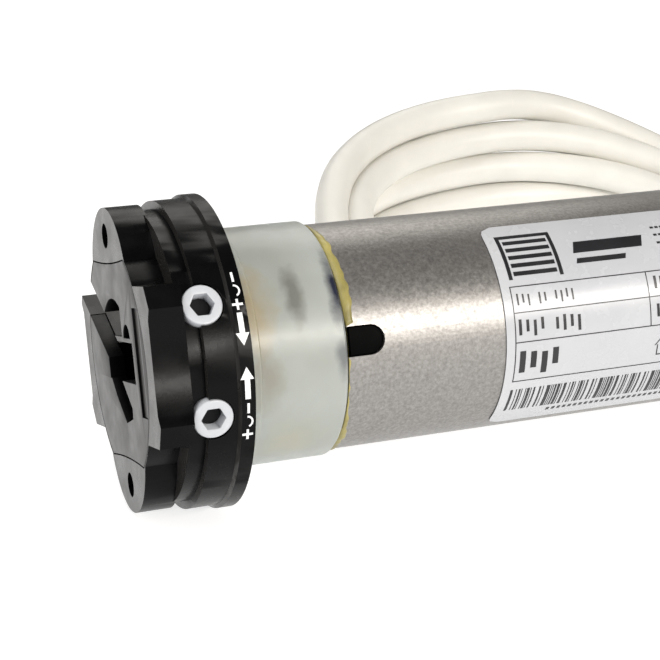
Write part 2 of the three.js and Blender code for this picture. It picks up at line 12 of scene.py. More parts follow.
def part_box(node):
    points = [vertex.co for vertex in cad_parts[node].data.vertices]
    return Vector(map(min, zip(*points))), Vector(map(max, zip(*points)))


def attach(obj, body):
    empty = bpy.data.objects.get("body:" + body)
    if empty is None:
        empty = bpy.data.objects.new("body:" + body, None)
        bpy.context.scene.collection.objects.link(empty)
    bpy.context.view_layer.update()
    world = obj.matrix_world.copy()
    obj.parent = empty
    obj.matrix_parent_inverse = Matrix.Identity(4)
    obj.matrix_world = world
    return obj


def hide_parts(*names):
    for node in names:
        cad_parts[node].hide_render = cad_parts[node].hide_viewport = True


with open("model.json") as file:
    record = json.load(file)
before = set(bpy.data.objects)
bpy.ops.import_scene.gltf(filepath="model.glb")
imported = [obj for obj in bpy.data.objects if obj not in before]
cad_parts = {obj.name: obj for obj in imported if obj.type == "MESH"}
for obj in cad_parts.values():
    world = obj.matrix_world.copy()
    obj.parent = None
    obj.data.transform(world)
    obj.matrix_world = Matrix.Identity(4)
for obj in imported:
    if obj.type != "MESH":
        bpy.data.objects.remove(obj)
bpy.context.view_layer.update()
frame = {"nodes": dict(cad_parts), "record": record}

MM = 0.001
FACE_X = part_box("head_body")[0].x  # the head's front face
AXIS_Z = 0.5 * (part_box("output_shaft")[0].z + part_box("output_shaft")[1].z)
ROLL = math.radians(15.75)
RIM_STATION = 17.8
RIM_R = 30.6
TUBE_R = 22.5
TUBE_FROM = 38.8
TUBE_TO = 436.0
TUBE_SCREW_STATION = 428
TUBE_SCREWS = (0.9, 2.9)  # their angles about the axis
REST = (RIM_R - TUBE_R) / (TUBE_TO - RIM_STATION)  # rise of the resting surface along the axis
MOTOR = Matrix.Translation((FACE_X, 0, AXIS_Z)) @ Matrix.Rotation(-ROLL, 4, "X") @ Matrix.Scale(MM, 4)
NEAR = math.pi  # the side with the adjusters, as an angle about the axis


# ---- Camera and light -------------------------------------------------------------------------------------
def camera():
    data = bpy.data.cameras.new("camera")
    data.sensor_width = 36
    data.lens = 90.13
    data.clip_start = 0.01
    obj = bpy.data.objects.new("camera", data)
    obj.location = (-0.29741, -0.29291, 0.13794)
    forward = Vector((0.33229, 0.88664, -0.32160))
    obj.rotation_euler = forward.to_track_quat("-Z", "Y").to_euler()
    bpy.context.scene.collection.objects.link(obj)
    bpy.context.scene.camera = obj


def area_light(name, location, target, size, power, color=(1, 1, 1), size_y=None):
    data = bpy.data.lights.new(name, "AREA")
    data.energy = power
    data.color = color
    data.size = size
    if size_y:
        data.shape = "RECTANGLE"
        data.size_y = size_y
    obj = bpy.data.objects.new(name, data)
    obj.location = location
    obj.rotation_euler = (Vector(target) - Vector(location)).to_track_quat("-Z", "Y").to_euler()
    bpy.context.scene.collection.objects.link(obj)


def lights():
    world = bpy.data.worlds.new("studio")
    world.use_nodes = True
    background = world.node_tree.nodes["Background"]
    background.inputs["Color"].default_value = (1.0, 0.995, 0.985, 1)
    background.inputs["Strength"].default_value = 0.16
    bpy.context.scene.world = world
    centre = (-0.17, 0, 0.03)
    area_light("key", (-0.50, -0.15, 1.0), centre, 0.7, 4, (1.0, 0.985, 0.96))
    area_light("front", (0.22, -0.90, 0.43), centre, 1.0, 11, (1.0, 0.955, 0.90), 0.08)
    area_light("side", (-0.95, -0.10, 0.35), centre, 0.35, 3, (1.0, 0.98, 0.96), 0.6)
    area_light("back", (0.05, 0.85, 0.75), centre, 0.7, 3, (1.0, 0.97, 0.92))
    bpy.context.scene.view_settings.view_transform = "Standard"


# ---- Helpers ----------------------------------------------------------------------------------------------
def place(points):
    return [MOTOR @ Vector(p) for p in points]


def polar(station, radius, angle):
    return (station, radius * math.cos(angle), radius * math.sin(angle))


def make_piece(name, verts, faces, material, slot, body, replaces=(), smooth=35):
    mesh = bpy.data.meshes.new(name)
    mesh.from_pydata([tuple(v) for v in verts], [], faces)
    obj = bpy.data.objects.new(name, mesh)
    bpy.context.scene.collection.objects.link(obj)
    return finish_piece(obj, material, body, replaces, smooth)


def finish_piece(obj, material, body, replaces=(), smooth=35):
    mesh = obj.data
    bm = bmesh.new()
    bm.from_mesh(mesh)
    bmesh.ops.recalc_face_normals(bm, faces=bm.faces)
    bm.to_mesh(mesh)
    bm.free()
    if smooth:
        mesh.shade_smooth()
        mesh.set_sharp_from_angle(angle=math.radians(smooth))
    mesh.materials.clear()
    mesh.materials.append(material)
    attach(obj, body)
    if replaces:
        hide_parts(*replaces)
    return obj


def on_rest(x, y, height):
    """A point above the resting surface, which rises from the flange to the thinner tube."""
    return Vector((FACE_X + x * MM, y * MM, (height + REST * (x - RIM_STATION)) * MM))


# ---- Materials --------------------------------------------------------------------------------------------
class Nodes:
    """A material's node tree around one Principled shader."""

    def __init__(self, name, color, roughness, **sockets):
        self.material = bpy.data.materials.new(name)
        self.material.use_nodes = True
        self.tree = self.material.node_tree
        self.shader = self.tree.nodes["Principled BSDF"]
        self.shader.inputs["Base Color"].default_value = (*color, 1)
        self.shader.inputs["Roughness"].default_value = roughness
        for key, value in sockets.items():
            self.shader.inputs[key.replace("_", " ")].default_value = value
        self.color = color
        self.coords = self.tree.nodes.new("ShaderNodeTexCoord").outputs["Object"]

    def new(self, kind, **values):
        node = self.tree.nodes.new(kind)
        for key, value in values.items():
            if hasattr(node, key):
                setattr(node, key, value)
            else:
                node.inputs[key.replace("_", " ")].default_value = value
        return node

    def link(self, a, b):
        self.tree.links.new(a, b)

    def scaled(self, scale):
        mapping = self.new("ShaderNodeMapping")
        mapping.inputs["Scale"].default_value = scale
        self.link(self.coords, mapping.inputs["Vector"])
        return mapping.outputs["Vector"]

    def noise(self, scale, detail=3.0, stretch=None, roughness=0.55):
        node = self.new("ShaderNodeTexNoise")
        node.inputs["Scale"].default_value = scale
        node.inputs["Detail"].default_value = detail
        node.inputs["Roughness"].default_value = roughness
        self.link(self.scaled(stretch) if stretch else self.coords, node.inputs["Vector"])
        return node.outputs["Fac"]

    def mapped(self, value, low, high, from_low=0.3, from_high=0.7):
        node = self.new("ShaderNodeMapRange")
        limits = {"From Min": from_low, "From Max": from_high, "To Min": low, "To Max": high}
        for key, number in limits.items():
            node.inputs[key].default_value = number
        self.link(value, node.inputs["Value"])
        return node.outputs["Result"]

    def vary_color(self, value, dark, light, from_low=0.3, from_high=0.7):
        ramp = self.new("ShaderNodeValToRGB")
        ramp.color_ramp.elements[0].position = from_low
        ramp.color_ramp.elements[0].color = (*dark, 1)
        ramp.color_ramp.elements[1].position = from_high
        ramp.color_ramp.elements[1].color = (*light, 1)
        self.link(value, ramp.inputs["Fac"])
        self.link(ramp.outputs["Color"], self.shader.inputs["Base Color"])
        return ramp

    def vary_roughness(self, value, low, high):
        self.link(self.mapped(value, low, high), self.shader.inputs["Roughness"])

    def bump(self, value, strength, distance=0.0002):
        node = self.new("ShaderNodeBump")
        node.inputs["Strength"].default_value = strength
        node.inputs["Distance"].default_value = distance
        self.link(value, node.inputs["Height"])
        self.link(node.outputs["Normal"], self.shader.inputs["Normal"])


def shades(color, spread):
    """A darker and a lighter shade of a colour."""
    dark = tuple(c * (1 - spread) for c in color)
    light = tuple(min(c * (1 + spread), 1) for c in color)
    return dark, light


def moulded(name, color, roughness=0.3, grain=0.08, spread=0.25, **sockets):
    """Injection-moulded plastic: faint mottling, a fine skin and slightly uneven gloss."""
    nodes = Nodes(name, color, roughness, **sockets)
    nodes.vary_color(nodes.noise(90, 4), *shades(color, spread))
    nodes.vary_roughness(nodes.noise(160, 4), max(roughness - 0.06, 0.05), roughness + 0.08)
    nodes.bump(nodes.noise(1500, 2), grain, 0.00015)
    return nodes.material


def metal(name, color, roughness=0.3, stretch=(1, 1, 1), grain=0.1, spread=0.15, metallic=1.0):
    """Turned, drawn or ground metal: streaks along the way it was worked."""
    nodes = Nodes(name, color, roughness, Metallic=metallic)
    streaks = nodes.noise(900, 4, stretch)
    nodes.vary_color(streaks, *shades(color, spread))
    nodes.vary_roughness(nodes.noise(500, 3, stretch), roughness * 0.75, roughness * 1.3)
    nodes.bump(streaks, grain, 0.0001)
    return nodes.material


def pvc(name, color, roughness=0.42, spread=0.05):
    """Flexible PVC sheath: satin, faintly wavy, slightly translucent."""
    nodes = Nodes(name, color, roughness)
    nodes.shader.inputs["Subsurface Weight"].default_value = 0.05
    nodes.shader.inputs["Subsurface Radius"].default_value = (0.004, 0.003, 0.002)
    nodes.shader.inputs["Subsurface Scale"].default_value = 0.4
    nodes.vary_color(nodes.noise(60, 4), *shades(color, spread))
    nodes.vary_roughness(nodes.noise(220, 3), roughness - 0.07, roughness + 0.1)
    nodes.bump(nodes.noise(420, 3), 0.12, 0.0002)
    return nodes.material


WHITE_PVC = pvc("white_pvc", (0.74, 0.728, 0.68))

# ---- The mains lead ---------------------------------------------------------------------------------------
CABLE_R = 4.5
PITCH = 9.2  # one turn of the coil lies this far from the next
COIL_CENTRE = (148.0, 90.0)
COIL_HALF = (68.0, 51.0)  # of the outer column's centreline
TURN_POINTS = 40
LAST_PASS = 4  # the coil's passes are numbered from 0, and this one leaves for the free end
RISE_POWER = 0.42  # how soon the turns climb on each other on the side towards the head
FALL_POWER = 1.3  # and how late they part again on the other side
COIL_START = math.radians(122)
LEAVES_EARLY = math.radians(4)
LEAD_STATION = 12.6


def coil_point(number, angle):
    """Pass `number` of the coil. Its turns are stacked on the far side, one on another, and elsewhere they
    lie in two columns, where the outer one holds every second turn. The lead-in runs under them all, and the
    last pass slips down outside the rest."""
    lift = max(math.sin(angle), 0.0) ** (RISE_POWER if angle > math.pi / 2 else FALL_POWER)
    spread = math.sqrt(max(1 - lift * lift, 0))
    incoming = math.pi / 2 < angle <= math.pi
    if incoming and number == 0:
        offset, height = PITCH * spread, CABLE_R + 0.1
    else:
        place_in_stack = number - 1 if incoming else number
        pair, odd = divmod(place_in_stack, 2)
        rise = pair * max(PITCH, 2 * PITCH * lift) + odd * PITCH * lift
        offset = -PITCH * spread * (1 - odd)
        height = CABLE_R + 0.1 + rise + (PITCH * lift if incoming else 0)
        if number == LAST_PASS and not incoming:
            above = lift**4
            offset = PITCH * math.sqrt(max(1 - above * above, 0))
            height = CABLE_R + 0.1 + max(PITCH, 2 * PITCH * lift) + PITCH * (lift + above)
    wobble = 0.3 * math.sin(3.1 * number + 2 * angle)
    half_x, half_y = COIL_HALF
    x, y = half_x * math.cos(angle), half_y * math.sin(angle)
    normal = Vector((math.cos(angle) / half_x, math.sin(angle) / half_y)).normalized()
    x += normal.x * (offset + wobble)
    y += normal.y * (offset + wobble)
    return on_rest(COIL_CENTRE[0] + x, COIL_CENTRE[1] + y, height)


def from_head(reach):
    x = FACE_X + LEAD_STATION * MM
    return Vector((x, reach * MM * math.cos(ROLL), AXIS_Z - reach * MM * math.sin(ROLL)))


def cable_route():
    route = [from_head(52.3), from_head(57), from_head(62), Vector((FACE_X + 0.0144, 0.070, 0.0106))]
    route += [on_rest(20, 81, 6.2), on_rest(30, 92, 4.8), on_rest(42, 102, 4.6), on_rest(55, 110.5, 4.6)]
    route += [on_rest(67, 118, 4.6), on_rest(79, 125.6, 4.6), on_rest(91, 132.6, 4.6)]
    step = 2 * math.pi / TURN_POINTS
    total = COIL_START + math.pi + (LAST_PASS - 1) * 2 * math.pi + math.pi - LEAVES_EARLY
    for i in range(int(total / step) + 1):
        turned = COIL_START - i * step
        number = int(math.floor((math.pi - turned) / (2 * math.pi)))
        route.append(coil_point(number, turned + 2 * math.pi * number))
    route += [on_rest(226.4, 82, 13.6), on_rest(228.8, 73, 10.6), on_rest(232.6, 64.5, 8.0)]
    route += [on_rest(238.5, 57, 6.2), on_rest(247, 52, 5.0), on_rest(256, 49.6, 4.7)]
    route += [on_rest(266, 49, 4.6), on_rest(276, 49, 4.6)]
    return route


def tube_curve(name, points, radius, material, resolution=5):
    data = bpy.data.curves.new(name, "CURVE")
    data.dimensions = "3D"
    spline = data.splines.new("BEZIER")
    spline.bezier_points.add(len(points) - 1)
    for point, knot in zip(points, spline.bezier_points):
        knot.co = point
        knot.handle_left_type = knot.handle_right_type = "AUTO"
    spline.resolution_u = 4
    data.bevel_depth = radius
    data.bevel_resolution = resolution
    data.use_fill_caps = True
    data.materials.append(material)
    obj = bpy.data.objects.new(name, data)
    bpy.context.scene.collection.objects.link(obj)
    return obj


camera()
lights()
ROUTE = cable_route()
cable = tube_curve("mains_lead", ROUTE, CABLE_R * MM, WHITE_PVC)
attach(cable, "motor_body")
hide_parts("cable_lead", "cable_coil", "cable_tail")


# ---- Floor ------------------------------------------------------------------------------------------------
def floor():
    nodes = Nodes("floor", (0.5, 0.5, 0.5), 0.9)
    nodes.shader.inputs["Emission Color"].default_value = (1, 1, 1, 1)
    nodes.shader.inputs["Emission Strength"].default_value = 0.76
    nodes.vary_roughness(nodes.noise(3, 2), 0.85, 0.95)
    mesh = bpy.data.meshes.new("floor")
    reach = 60
    corners = [(-reach, -reach), (reach, -reach), (reach, reach), (-reach, reach)]
    base = FACE_X + RIM_STATION * MM
    mesh.from_pydata([(x, y, REST * (x - base) - 0.0001) for x, y in corners], [], [(0, 1, 2, 3)])
    mesh.materials.append(nodes.material)
    obj = bpy.data.objects.new("floor", mesh)
    bpy.context.scene.collection.objects.link(obj)


floor()

# ---- Solid helpers ----------------------------------------------------------------------------------------
def lathe(name, profile, material, slot, body, replaces=(), segments=128):
    """A closed outline of [station, radius] pairs turned about the motor's axis."""
    count = len(profile)
    verts, faces = [], []
    for i in range(segments):
        angle = 2 * math.pi * i / segments
        verts += [polar(station, radius, angle) for station, radius in profile]
    for i in range(segments):
        here, after = i * count, (i + 1) % segments * count
        for k in range(count):
            following = (k + 1) % count
            faces.append((here + k, after + k, after + following, here + following))
    piece = make_piece(name, place(verts), faces, material, slot, body, replaces, smooth=None)
    weld(piece)
    return piece


def weld(piece, smooth=32):
    bm = bmesh.new()
    bm.from_mesh(piece.data)
    bmesh.ops.remove_doubles(bm, verts=bm.verts, dist=2e-6)
    bmesh.ops.dissolve_degenerate(bm, edges=bm.edges, dist=1e-7)
    bmesh.ops.recalc_face_normals(bm, faces=bm.faces)
    bm.to_mesh(piece.data)
    bm.free()
    piece.data.shade_smooth()
    piece.data.set_sharp_from_angle(angle=math.radians(smooth))


def arc(cx, cy, radius, start, end, steps):
    """Points of an arc in (across, up), from the start angle to the end angle."""
    angles = [start + (end - start) * i / steps for i in range(steps + 1)]
    return [(cx + radius * math.cos(a), cy + radius * math.sin(a)) for a in angles]


def tongue(root, tip, half, steps=20):
    """An outline from root to tip, as wide as twice half, with a round end."""
    round_end = arc(tip, 0, half, -math.pi / 2, math.pi / 2, steps)[1:-1]
    return [(root, -half), (tip, -half)] + round_end + [(tip, half), (root, half)]


def prism(outline, start, end):
    """An outline in (across, up) made solid between two stations, in millimetres."""
    count = len(outline)
    verts = [Vector((start, y, z)) for y, z in outline] + [Vector((end, y, z)) for y, z in outline]
    faces = [tuple(range(count)), tuple(range(2 * count - 1, count - 1, -1))]
    faces += [(i, (i + 1) % count, count + (i + 1) % count, count + i) for i in range(count)]
    return verts, faces


def cylinder(radius, start, end, steps=48, centre=(0, 0)):
    return prism(arc(*centre, radius, 0, 2 * math.pi * (1 - 1 / steps), steps - 1), start, end)


def outward(solid, angle, station):
    """Turns a solid made along the axis so that it points out along a radius."""
    verts, faces = solid
    direction = Vector((0, math.cos(angle), math.sin(angle)))
    basis = Matrix((direction, Vector((1, 0, 0)), direction.cross(Vector((1, 0, 0))))).transposed()
    return [basis @ v + Vector((station, 0, 0)) for v in verts], faces


def turned_solid(profile, steps=48):
    verts, faces = [], []
    count = len(profile)
    for i in range(steps):
        angle = 2 * math.pi * i / steps
        verts += [Vector(polar(s, r, angle)) for s, r in profile]
    for i in range(steps):
        j = (i + 1) % steps
        for k in range(count):
            m = (k + 1) % count
            faces.append((i * count + k, j * count + k, j * count + m, i * count + m))
    return verts, faces


def scratch(solid):
    verts, faces = solid
    mesh = bpy.data.meshes.new("scratch")
    mesh.from_pydata([tuple(v) for v in verts], [], faces)
    bm = bmesh.new()
    bm.from_mesh(mesh)
    bmesh.ops.remove_doubles(bm, verts=bm.verts, dist=1e-4)
    bmesh.ops.dissolve_degenerate(bm, edges=bm.edges, dist=1e-5)
    bmesh.ops.recalc_face_normals(bm, faces=bm.faces)
    bm.to_mesh(mesh)
    bm.free()
    obj = bpy.data.objects.new("scratch", mesh)
    bpy.context.scene.collection.objects.link(obj)
    return obj


def applied(obj):
    """The object's mesh with its modifiers worked in, and the object and its tools gone."""
    graph = bpy.context.evaluated_depsgraph_get()
    mesh = bpy.data.meshes.new_from_object(obj.evaluated_get(graph))
    tools = [m.object for m in obj.modifiers if m.type == "BOOLEAN"]
    for each in [obj, *tools]:
        bpy.data.objects.remove(each)
    return mesh


def carve(name, solids, cuts, bevel, material, slot, body, replaces=(), segments=2, limit=40):
    """Joins solids, cuts others out of them and rounds the edges that are left, all in millimetres."""
    base = scratch(solids[0])
    for operation, group in (("UNION", solids[1:]), ("DIFFERENCE", cuts)):
        for solid in group:
            modifier = base.modifiers.new("join", "BOOLEAN")
            modifier.operation = operation
            modifier.solver = "EXACT"
            modifier.object = scratch(solid)
    mesh = applied(base)
    bm = bmesh.new()
    bm.from_mesh(mesh)
    bmesh.ops.remove_doubles(bm, verts=bm.verts, dist=1e-3)
    bmesh.ops.dissolve_limit(bm, angle_limit=math.radians(0.4), verts=bm.verts, edges=bm.edges)
    bm.to_mesh(mesh)
    bm.free()
    rounded = bpy.data.objects.new("rounded", mesh)
    bpy.context.scene.collection.objects.link(rounded)
    if bevel:
        modifier = rounded.modifiers.new("edges", "BEVEL")
        modifier.width = bevel
        modifier.segments = segments
        modifier.limit_method = "ANGLE"
        modifier.angle_limit = math.radians(limit)
        modifier.miter_outer = "MITER_ARC"
        modifier.use_clamp_overlap = True
        modifier.harden_normals = False
    mesh = applied(rounded)
    mesh.transform(MOTOR)
    mesh.name = name
    obj = bpy.data.objects.new(name, mesh)
    bpy.context.scene.collection.objects.link(obj)
    return finish_piece(obj, material, body, replaces, smooth=38)


# ---- Head -------------------------------------------------------------------------------------------------
def black_with_painted_sheen(name, face, roughness, grain):
    """Black plastic, satin on its front faces. Its colour is painted by the way each face points: a lighter
    painted sheen on the faces turned to the front, and near-black painted shade on its sides and in its
    recesses.
    """
    nodes = Nodes(name, face, roughness, IOR=1.42)
    parts = nodes.new("ShaderNodeSeparateXYZ")
    nodes.link(nodes.coords.node.outputs["Normal"], parts.inputs[0])
    # front is near 1 on faces turned to the front and 0 on the sides; it sets where the painted sheen and the
    # painted shade go.
    front = nodes.mapped(parts.outputs["X"], 1.0, 0.0, -0.95, -0.5)
    ramp = nodes.vary_color(nodes.noise(90, 4), *shades(face, 0.25))
    # The colour mixes a near-black painted shade for the sides and recesses with the lighter, mottled painted
    # sheen of the front faces.
    mix = nodes.new("ShaderNodeMix", data_type="RGBA")
    nodes.link(front, mix.inputs["Factor"])
    mix.inputs["A"].default_value = (0.0012, 0.0012, 0.0014, 1)
    nodes.link(ramp.outputs["Color"], mix.inputs["B"])
    nodes.link(mix.outputs["Result"], nodes.shader.inputs["Base Color"])
    nodes.link(nodes.mapped(front, 0.14, 0.5, 0.0, 1.0), nodes.shader.inputs["Specular IOR Level"])
    nodes.vary_roughness(nodes.noise(160, 4), roughness - 0.08, roughness + 0.06)
    nodes.bump(nodes.noise(1500, 2), grain, 0.00015)
    return nodes.material


BLACK = black_with_painted_sheen("black_plastic", (0.018, 0.017, 0.016), 0.3, 0.05)
COVER_BLACK = black_with_painted_sheen("cover_plastic", (0.022, 0.021, 0.020), 0.38, 0.12)
BOLT_HALF_PITCH = 24.0
SCREW_SPREAD = math.radians(20.3)
SCREW_STATION = 10.2
SCREW_R = 3.75
FAR_GROOVE = math.radians(30)  # the cable groove's angle


def rotated(outline, angle):
    c, s = math.cos(angle), math.sin(angle)
    return [(c * x - s * y, s * x + c * y) for x, y in outline]


def groove(width, start, end):
    half = width / 2
    outline = [(-3, 0.2 - half), (40, 0.2 - half), (40, 0.2 + half), (-3, 0.2 + half)]
    return prism(rotated(outline, FAR_GROOVE), start, end)


def cover_outline(grow=0.0):
    radius, half = 23.2 + grow, 18.6 + grow
    corner = math.asin((half + 0.6) / radius)
    bulge_x, bulge_y = radius * math.cos(corner), radius * math.sin(corner)
    right = arc(0, 0, radius, -corner, corner, 40)
    left = arc(0, 0, radius, math.pi - corner, math.pi + corner, 40)

    def bow(sign):
        points = []
        for i in range(1, 16):
            t = i / 16
            across = bulge_x * (1 - 2 * t)
            up = (1 - t) ** 2 * bulge_y + 2 * t * (1 - t) * (half - 0.6) + t * t * bulge_y
            points.append((sign * across, sign * up))
        return points

    return right + bow(1) + left + bow(-1)


def lobe_outline():
    centre = 29.4 - 14.5
    return arc(0, centre, 14.5, 0, math.pi, 40) + arc(0, -centre, 14.5, math.pi, 2 * math.pi, 40)


def flipped(points):
    return [(x, -y) for x, y in reversed(points)]


def arm_outline():
    reach, half = 29.6, 14.5
    right = [(reach - 2.5, -half), (reach, -(half - 4)), (reach - 1.3, -(half - 6))]
    left = [(-x, -y) for x, y in right]
    return right + flipped(right) + left + flipped(left)


def head():
    neck_and_body = [(6.1, 0.0), (6.1, 28.3), (9.3, 28.3), (9.3, 29.9), (14.7, 29.9)]
    rim_and_spigot = [(15.2, 30.6), (17.8, 30.6), (17.8, 20.05), (22, 20.05), (22, 0.0)]
    solids = [
        turned_solid(neck_and_body + rim_and_spigot, 160),
        prism(lobe_outline(), 0, 6.6),
        prism(arm_outline(), 0, 6.6),
        cylinder(23.6, 0, 6.6, 96),
    ]
    cuts = [prism(cover_outline(0.25), -1, 3.25), cylinder(12.4, -1, 8.8, 72), groove(7.8, -1, 9.4)]
    cuts += [cylinder(2.4, -1, 7.5, 32, (0, side * BOLT_HALF_PITCH)) for side in (-1, 1)]
    for side in (-1, 1):
        angle = NEAR - side * SCREW_SPREAD
        cuts.append(outward(cylinder(SCREW_R + 0.25, 19.8, 40, 48), angle, SCREW_STATION))
    cuts.append(outward(cylinder(4.6, 22, 40, 40), 0, LEAD_STATION))
    return carve("head", solids, cuts, 0.35, BLACK, "black_plastic", "motor_body", ["head_body"], 2, 40)


def cover():
    inner = 12.0
    floor_up = 4.9
    start = math.asin(floor_up / inner)
    end = math.pi - math.acos(6 / inner)
    sector = [(-6, floor_up)] + arc(0, 0, inner, start, end, 20)
    slot_outline = [(-1.4, -3), (7.6, -3), (3.8, -7), (-2.6, -11.8), (-8.2, -10.6), (-8.6, -8.6)]
    notch = arc(-9.8, floor_up - 0.2, 2.6, 0, math.pi, 16)
    middle = [(-13.6, -3.7), (8, -3.7), (8, 3.9), (-13.6, 3.9)]
    panel = [(-20.5, -9.6), (-16.2, -9.6), (-16.2, 10.5), (-20.5, 10.5)]
    cuts = [prism(o, -1, 4) for o in (sector, slot_outline, notch, middle)]
    cuts += [prism(panel, -1, 0.5), groove(7.8, -1, 4)]
    disc = prism(cover_outline(), 0, 3)
    looks = (COVER_BLACK, "black_plastic", "motor_body", ["head_cover"])
    return carve("cover", [disc], cuts, 0.3, *looks, segments=2, limit=35)


head()
cover()

WHITE_NYLON = moulded("white_nylon", (0.50, 0.52, 0.55), 0.38, grain=0.05, spread=0.04)
# Near-black with little reflection, for a disc deep in each screw's socket: painted shadow.
PAINTED_SOCKET_SHADOW = moulded("socket_shadow", (0.004, 0.004, 0.005), 0.7, grain=0.05, IOR=1.3)


def limit_screw(name, side):
    angle = NEAR - side * SCREW_SPREAD
    shank = [(20.6, 0), (20.6, 2), (23, 2), (23, SCREW_R)]
    plug = turned_solid(shank + [(29.5, SCREW_R), (29.7, SCREW_R - 0.2), (29.7, 0)], 56)
    socket = turned_solid([(23.4, 0), (23.4, 2.31), (32, 2.31), (32, 0)], 6)
    # A dark disc filling the socket's bottom, 2.3 mm below its mouth: painted shadow where the socket's shade
    # falls.
    painted_shadow_disc = turned_solid([(23.6, 0), (23.6, 1.9), (27.4, 1.9), (27.4, 0)], 24)
    painted_shadow_disc_at = outward(painted_shadow_disc, angle, SCREW_STATION)
    carve(f"limit_screw_{name}_bed", [painted_shadow_disc_at], [], 0, PAINTED_SOCKET_SHADOW, "dark_plastic", f"adjuster_{name}")
    return carve(
        f"limit_screw_{name}_plug",
        [outward(plug, angle, SCREW_STATION)],
        [outward(socket, angle, SCREW_STATION)],
        0.12, WHITE_NYLON, "white_plastic", f"adjuster_{name}", [f"limit_screw_{name}"], 2, 40,
    )


limit_screw("up", 1)
limit_screw("down", -1)


# ---- Limit ring -------------------------------------------------------------------------------------------
# Soft tints in the ring's plastic, for what shows faintly through it: station, elevation in degrees above the
# horizontal on the near side, reach in mm along and across, colour and strength. They turn with the ring.
RING_STAINS = (
    (21.0, 36, (4.6, 9.5), (0.55, 0.42, 0.20), 0.6),
    (22.5, 2, (3.6, 6.0), (0.34, 0.29, 0.20), 0.45),
    (29.6, 42, (2.2, 6.4), (0.13, 0.12, 0.11), 0.6),
    (37.9, 41, (1.9, 8.2), (0.012, 0.016, 0.05), 1.0),
    (37.6, 9, (1.8, 4.0), (0.16, 0.17, 0.19), 0.75),
    (28.0, -34, (6.5, 6.0), (0.60, 0.58, 0.44), 0.5),
)


def stain(nodes, color, station, elevation, reach, tint, strength):
    """Blends a soft-edged patch of another tint into the colour, around one place on the ring."""
    angle = NEAR + ROLL - math.radians(elevation)
    middle = MOTOR @ Vector(polar(station, 23.4, angle))
    shift = nodes.new("ShaderNodeMapping")
    shift.vector_type = "POINT"
    scale = (1 / (reach[0] * MM), 1 / (reach[1] * MM), 1 / (reach[1] * MM))
    shift.inputs["Scale"].default_value = scale
    shift.inputs["Location"].default_value = [-m * k for m, k in zip(middle, scale)]
    nodes.link(nodes.coords, shift.inputs["Vector"])
    length = nodes.new("ShaderNodeVectorMath", operation="LENGTH")
    nodes.link(shift.outputs["Vector"], length.inputs[0])
    ragged = nodes.new("ShaderNodeMath", operation="ADD")
    nodes.link(length.outputs["Value"], ragged.inputs[0])
    nodes.link(nodes.mapped(nodes.noise(260, 4), -0.28, 0.28), ragged.inputs[1])
    mask = nodes.mapped(ragged.outputs["Value"], strength, 0.0, 0.3, 1.15)
    mix = nodes.new("ShaderNodeMix", data_type="RGBA")
    nodes.link(mask, mix.inputs["Factor"])
    nodes.link(color, mix.inputs["A"])
    mix.inputs["B"].default_value = (*tint, 1)
    return mix.outputs["Result"]


def ring_material():
    nodes = Nodes("milky_nylon", (0.80, 0.79, 0.72), 0.36, IOR=1.5)
    shader = nodes.shader
    shader.inputs["Transmission Weight"].default_value = 0.42
    shader.inputs["Subsurface Weight"].default_value = 0.5
    shader.inputs["Subsurface Radius"].default_value = (0.004, 0.0036, 0.003)
    shader.inputs["Subsurface Scale"].default_value = 0.5
    ramp = nodes.vary_color(nodes.noise(45, 3), (0.49, 0.515, 0.47), (0.63, 0.665, 0.635))
    color = ramp.outputs["Color"]
    for station, elevation, reach, tint, strength in RING_STAINS:
        color = stain(nodes, color, station, elevation, reach, tint, strength)
    nodes.link(color, shader.inputs["Base Color"])
    nodes.vary_roughness(nodes.noise(120, 3, (3, 1, 1)), 0.28, 0.42)
    nodes.bump(nodes.noise(250, 3, (0.3, 1, 1)), 0.12, 0.0002)
    return nodes.material


RING_TEETH = 60


def limit_ring():
    """The ring's smooth outside and its toothed inside, which shows through as fine lines along the axis."""
    outside = [(18.3, 23.6), (18.7, 24.0), (21.1, 24.0), (21.5, 23.4), (37.9, 23.4), (38.4, 22.9)]
    pitch = 21.0
    tooth = [(-0.50, 1.1), (-0.26, 1.1), (-0.12, -0.75), (0.12, -0.75), (0.26, 1.1)]
    ring = []
    for i in range(RING_TEETH):
        for share, rise in tooth:
            ring.append((2 * math.pi * (i + 0.5 + share) / RING_TEETH, pitch + 0.7 * rise))
    count = len(ring)
    rows = [[polar(18.3, r, a) for a, r in ring]]
    rows += [[polar(s, radius, a) for a, _ in ring] for s, radius in outside]
    rows += [[polar(38.4, r, a) for a, r in ring]]
    verts = [v for row in rows for v in row]
    faces = []
    for k in range(len(rows)):
        following = (k + 1) % len(rows)
        for i in range(count):
            j = (i + 1) % count
            faces.append((k * count + i, k * count + j, following * count + j, following * count + i))
    looks = (ring_material(), "milky_plastic", "drive_ring", ["limit_ring"])
    return make_piece("limit_ring_shell", place(verts), faces, *looks, smooth=30)


limit_ring()


# ---- Tube, key and sealant --------------------------------------------------------------------------------
def tube_material():
    nodes = Nodes("tube_steel", (0.28, 0.27, 0.257), 0.4, Metallic=0.85)
    grain = nodes.noise(1500, 3, roughness=0.7)
    nodes.vary_color(grain, (0.22, 0.21, 0.20), (0.35, 0.34, 0.325), 0.3, 0.7)
    nodes.vary_roughness(nodes.noise(900, 3), 0.34, 0.46)
    nodes.bump(grain, 0.25, 0.00008)
    return nodes.material


